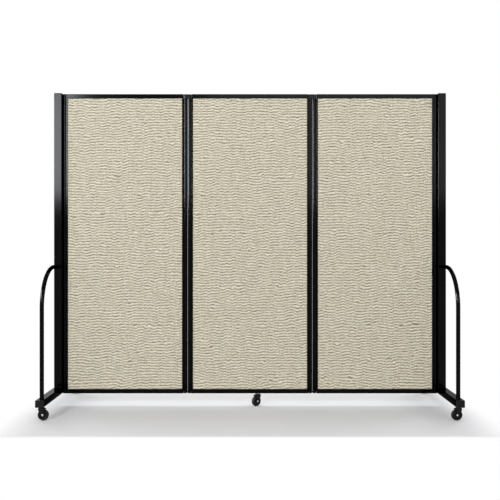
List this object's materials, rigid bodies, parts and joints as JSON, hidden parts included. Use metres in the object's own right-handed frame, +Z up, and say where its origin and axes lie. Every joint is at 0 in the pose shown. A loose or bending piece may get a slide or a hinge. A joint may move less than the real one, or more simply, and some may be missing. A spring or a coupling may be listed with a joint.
{
  "type": "folding privacy screen",
  "caption": "Folding privacy screen on casters: fabric panels in slim metal frames, joined by double-barrel hinges, between end frames with tubular hoops.",
  "frame": {"origin": "on the floor, under the middle of the straight screen", "axes": "+Z up, X along the straight screen, -Y out of its front"},
  "size_m": [1.905, 0.6096, 1.524],
  "materials": {
    "black_frame": "satin black powder coat",
    "black_plastic": "moulded satin black",
    "screen_fabric": "cream crepe weave with wavy ridges across",
    "core_board": "honeycomb board",
    "bright_steel": "bright zinc plate",
    "caster_tread": "moulded black tread and hub"
  },
  "bodies": {
    "middle_panel": {"middle_top_rail": "black_frame", "middle_bottom_rail": "black_frame", "middle_left_stile": "black_frame", "middle_right_stile": "black_frame", "middle_core_board": "core_board", "middle_fabric": "screen_fabric", "middle_caster_socket": "bright_steel"},
    "left_hinge_link": {"left_hinge_top_link": "black_plastic", "left_hinge_bottom_link": "black_plastic", "left_hinge_inner_rod": "bright_steel", "left_hinge_outer_rod": "bright_steel"},
    "left_panel": {"left_top_rail": "black_frame", "left_bottom_rail": "black_frame", "left_left_stile": "black_frame", "left_right_stile": "black_frame", "left_core_board": "core_board", "left_fabric": "screen_fabric", "left_post": "black_frame", "left_base_tube": "black_frame", "left_front_hoop": "black_frame", "left_rear_hoop": "black_frame", "left_post_cap": "black_plastic", "left_base_front_cap": "black_plastic", "left_base_rear_cap": "black_plastic", "left_front_caster_socket": "bright_steel", "left_rear_caster_socket": "bright_steel"},
    "right_hinge_link": {"right_hinge_top_link": "black_plastic", "right_hinge_bottom_link": "black_plastic", "right_hinge_inner_rod": "bright_steel", "right_hinge_outer_rod": "bright_steel"},
    "right_panel": {"right_top_rail": "black_frame", "right_bottom_rail": "black_frame", "right_left_stile": "black_frame", "right_right_stile": "black_frame", "right_core_board": "core_board", "right_fabric": "screen_fabric", "right_post": "black_frame", "right_base_tube": "black_frame", "right_front_hoop": "black_frame", "right_rear_hoop": "black_frame", "right_post_cap": "black_plastic", "right_base_front_cap": "black_plastic", "right_base_rear_cap": "black_plastic", "right_front_caster_socket": "bright_steel", "right_rear_caster_socket": "bright_steel"},
    "left_front_caster_swivel": {"left_front_caster_fork": "black_plastic", "left_front_caster_axle": "bright_steel"},
    "left_front_caster_roller": {"left_front_caster_wheel": "caster_tread"},
    "left_rear_caster_swivel": {"left_rear_caster_fork": "black_plastic", "left_rear_caster_axle": "bright_steel"},
    "left_rear_caster_roller": {"left_rear_caster_wheel": "caster_tread"},
    "right_front_caster_swivel": {"right_front_caster_fork": "black_plastic", "right_front_caster_axle": "bright_steel"},
    "right_front_caster_roller": {"right_front_caster_wheel": "caster_tread"},
    "right_rear_caster_swivel": {"right_rear_caster_fork": "black_plastic", "right_rear_caster_axle": "bright_steel"},
    "right_rear_caster_roller": {"right_rear_caster_wheel": "caster_tread"},
    "middle_caster_swivel": {"middle_caster_fork": "black_plastic", "middle_caster_axle": "bright_steel"},
    "middle_caster_roller": {"middle_caster_wheel": "caster_tread"}
  },
  "joints": [
    {"name": "left_inner_pivot", "type": "hinge", "parent": "middle_panel", "child": "left_hinge_link", "pos_m": [-0.295, 0, 0.76], "axis": [0, 0, 1], "range_deg": [-90, 90]},
    {"name": "left_outer_pivot", "type": "hinge", "parent": "left_hinge_link", "child": "left_panel", "pos_m": [-0.3146, 0, 0.76], "axis": [0, 0, 1], "range_deg": [-90, 90]},
    {"name": "right_inner_pivot", "type": "hinge", "parent": "middle_panel", "child": "right_hinge_link", "pos_m": [0.295, 0, 0.76], "axis": [0, 0, 1], "range_deg": [-90, 90]},
    {"name": "right_outer_pivot", "type": "hinge", "parent": "right_hinge_link", "child": "right_panel", "pos_m": [0.3146, 0, 0.76], "axis": [0, 0, 1], "range_deg": [-90, 90]},
    {"name": "left_front_caster_turn", "type": "hinge", "parent": "left_panel", "child": "left_front_caster_swivel", "pos_m": [-0.93345, -0.276, 0.06], "axis": [0, 0, 1], "continuous": true},
    {"name": "left_front_caster_roll", "type": "hinge", "parent": "left_front_caster_swivel", "child": "left_front_caster_roller", "pos_m": [-0.92425, -0.276, 0.025], "axis": [0, 1, 0], "continuous": true},
    {"name": "left_rear_caster_turn", "type": "hinge", "parent": "left_panel", "child": "left_rear_caster_swivel", "pos_m": [-0.93345, 0.276, 0.06], "axis": [0, 0, 1], "continuous": true},
    {"name": "left_rear_caster_roll", "type": "hinge", "parent": "left_rear_caster_swivel", "child": "left_rear_caster_roller", "pos_m": [-0.92425, 0.276, 0.025], "axis": [0, 1, 0], "continuous": true},
    {"name": "right_front_caster_turn", "type": "hinge", "parent": "right_panel", "child": "right_front_caster_swivel", "pos_m": [0.93345, -0.276, 0.06], "axis": [0, 0, 1], "continuous": true},
    {"name": "right_front_caster_roll", "type": "hinge", "parent": "right_front_caster_swivel", "child": "right_front_caster_roller", "pos_m": [0.92425, -0.276, 0.025], "axis": [0, -1, 0], "continuous": true},
    {"name": "right_rear_caster_turn", "type": "hinge", "parent": "right_panel", "child": "right_rear_caster_swivel", "pos_m": [0.93345, 0.276, 0.06], "axis": [0, 0, 1], "continuous": true},
    {"name": "right_rear_caster_roll", "type": "hinge", "parent": "right_rear_caster_swivel", "child": "right_rear_caster_roller", "pos_m": [0.92425, 0.276, 0.025], "axis": [0, -1, 0], "continuous": true},
    {"name": "middle_caster_turn", "type": "hinge", "parent": "middle_panel", "child": "middle_caster_swivel", "pos_m": [0.0374, 0, 0.06], "axis": [0, 0, 1], "continuous": true},
    {"name": "middle_caster_roll", "type": "hinge", "parent": "middle_caster_swivel", "child": "middle_caster_roller", "pos_m": [0.03035, -0.00591, 0.025], "axis": [0.6428, -0.766, 0], "continuous": true}
  ]
}
